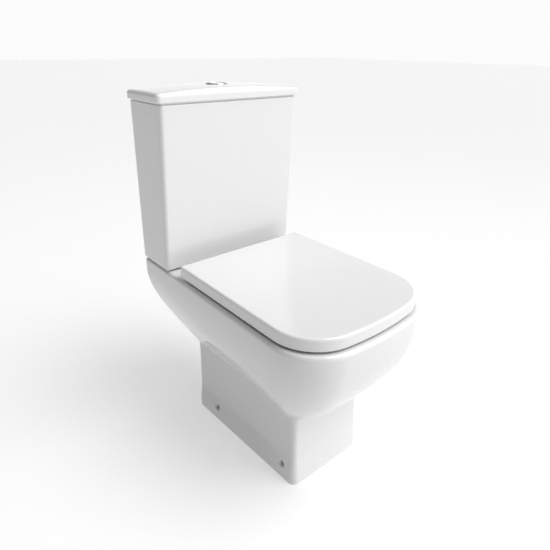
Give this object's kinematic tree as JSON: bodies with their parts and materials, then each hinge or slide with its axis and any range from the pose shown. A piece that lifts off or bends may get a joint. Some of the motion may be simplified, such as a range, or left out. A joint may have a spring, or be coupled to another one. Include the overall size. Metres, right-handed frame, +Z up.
{
  "type": "close coupled toilet",
  "caption": "Close coupled toilet: boxed china pan with a belly above a slim foot, a tapered cistern with a dual flush valve, and a slim hinged seat with a wrap-over lid.",
  "frame": {"origin": "on the floor, midway between the left and right sides and midway between the wall plane and the front of the pan", "axes": "+Z up, +Y towards the wall behind, +X to the right as seen from the front"},
  "size_m": [0.375, 0.6, 0.8074],
  "materials": {
    "glazed_china": "vitreous china with a clear, very glossy white glaze",
    "seat_plastic": "thick moulded urea plastic, smooth gloss white",
    "white_plastic": "plain moulded plastic",
    "grey_plastic": "plain moulded plastic, light grey",
    "chrome_plate": "bright chrome plate",
    "steel": "bare stainless steel",
    "brass_fixing": "bare brass",
    "black_rubber": "black rubber",
    "foam_rubber": "dense closed cell foam rubber",
    "clear_rubber": "soft translucent rubber"
  },
  "bodies": {
    "toilet": {"pan": "glazed_china", "bowl": "glazed_china", "trapway": "glazed_china", "cistern": "glazed_china", "flush_valve_base": "white_plastic", "flush_valve_backnut": "white_plastic", "flush_valve_tower": "white_plastic", "fill_valve_body": "white_plastic", "fill_valve_backnut": "white_plastic", "fill_valve_head": "grey_plastic", "flush_valve_seal": "black_rubber", "fill_valve_washer": "black_rubber", "doughnut_gasket": "foam_rubber", "floor_bracket_front_left": "grey_plastic", "side_screw_front_left": "steel", "floor_bracket_rear_left": "grey_plastic", "side_screw_rear_left": "steel", "coupling_bolt_left": "brass_fixing", "coupling_wing_nut_left": "brass_fixing", "coupling_washer_left": "black_rubber", "hinge_post_left": "chrome_plate", "hinge_washer_left": "black_rubber", "hinge_wing_nut_left": "white_plastic", "floor_bracket_front_right": "grey_plastic", "side_screw_front_right": "steel", "floor_bracket_rear_right": "grey_plastic", "side_screw_rear_right": "steel", "coupling_bolt_right": "brass_fixing", "coupling_wing_nut_right": "brass_fixing", "coupling_washer_right": "black_rubber", "hinge_post_right": "chrome_plate", "hinge_washer_right": "black_rubber", "hinge_wing_nut_right": "white_plastic"},
    "seat_ring": {"seat_ring": "seat_plastic", "ring_buffer_front_left": "clear_rubber", "ring_buffer_front_right": "clear_rubber", "ring_buffer_rear_left": "clear_rubber", "ring_buffer_rear_right": "clear_rubber", "hinge_pin_left": "steel", "hinge_pin_right": "steel"},
    "seat_lid": {"seat_lid": "seat_plastic", "lid_buffer_left": "clear_rubber", "lid_buffer_right": "clear_rubber"},
    "cistern_lid": {"cistern_lid": "glazed_china", "button_bezel": "chrome_plate", "button_locknut": "white_plastic", "full_button_spring": "steel", "half_button_spring": "steel"},
    "full_flush_button": {"full_flush_button": "chrome_plate", "full_push_rod": "white_plastic"},
    "half_flush_button": {"half_flush_button": "chrome_plate", "half_push_rod": "white_plastic"},
    "full_flush_lever": {"full_flush_lever": "grey_plastic"},
    "half_flush_lever": {"half_flush_lever": "grey_plastic"},
    "overflow_tube": {"overflow_tube": "grey_plastic", "sealing_washer": "black_rubber"},
    "float": {"float_cup": "grey_plastic", "float_link": "steel"},
    "float_arm": {"float_arm": "white_plastic"}
  },
  "joints": [
    {"name": "seat_ring_hinge", "type": "hinge", "parent": "toilet", "child": "seat_ring", "pos_m": [0, 0.1255, 0.4175], "axis": [-1, 0, 0], "range_deg": [0, 91.4]},
    {"name": "seat_lid_hinge", "type": "hinge", "parent": "seat_ring", "child": "seat_lid", "pos_m": [0, 0.1255, 0.4175], "axis": [1, 0, 0], "range_deg": [-91.4, 0]},
    {"name": "cistern_lid_lift", "type": "slide", "parent": "toilet", "child": "cistern_lid", "axis": [0, 0, 1], "range_m": [0, 0.12]},
    {"name": "full_flush_press", "type": "slide", "parent": "cistern_lid", "child": "full_flush_button", "axis": [0, 0, -1], "range_m": [0, 0.006], "stiffness_N_per_m": 900, "springref_m": -0.004, "deforming": ["full_button_spring"]},
    {"name": "half_flush_press", "type": "slide", "parent": "cistern_lid", "child": "half_flush_button", "axis": [0, 0, -1], "range_m": [0, 0.006], "stiffness_N_per_m": 900, "springref_m": -0.004, "deforming": ["half_button_spring"]},
    {"name": "full_flush_lever_pivot", "type": "hinge", "parent": "toilet", "child": "full_flush_lever", "pos_m": [-0.004, 0.221, 0.682], "axis": [0, 1, 0], "range_deg": [0, 22]},
    {"name": "half_flush_lever_pivot", "type": "hinge", "parent": "toilet", "child": "half_flush_lever", "pos_m": [0.004, 0.235, 0.682], "axis": [0, -1, 0], "range_deg": [0, 22]},
    {"name": "overflow_tube_lift", "type": "slide", "parent": "toilet", "child": "overflow_tube", "axis": [0, 0, 1], "range_m": [0, 0.0105]},
    {"name": "float_rise", "type": "slide", "parent": "toilet", "child": "float", "axis": [0, 0, 1], "range_m": [0, 0.015]},
    {"name": "float_arm_pivot", "type": "hinge", "parent": "toilet", "child": "float_arm", "pos_m": [0.132, 0.228, 0.735], "axis": [0, 1, 0], "range_deg": [0, 23]}
  ],
  "couplings": [
    {"joint": "full_flush_lever_pivot", "follows": "full_flush_press", "rad_per_m": 63.3},
    {"joint": "overflow_tube_lift", "follows": "full_flush_press", "ratio": 1.7},
    {"joint": "half_flush_lever_pivot", "follows": "half_flush_press", "rad_per_m": 63.3},
    {"joint": "float_arm_pivot", "follows": "float_rise", "rad_per_m": 24}
  ]
}
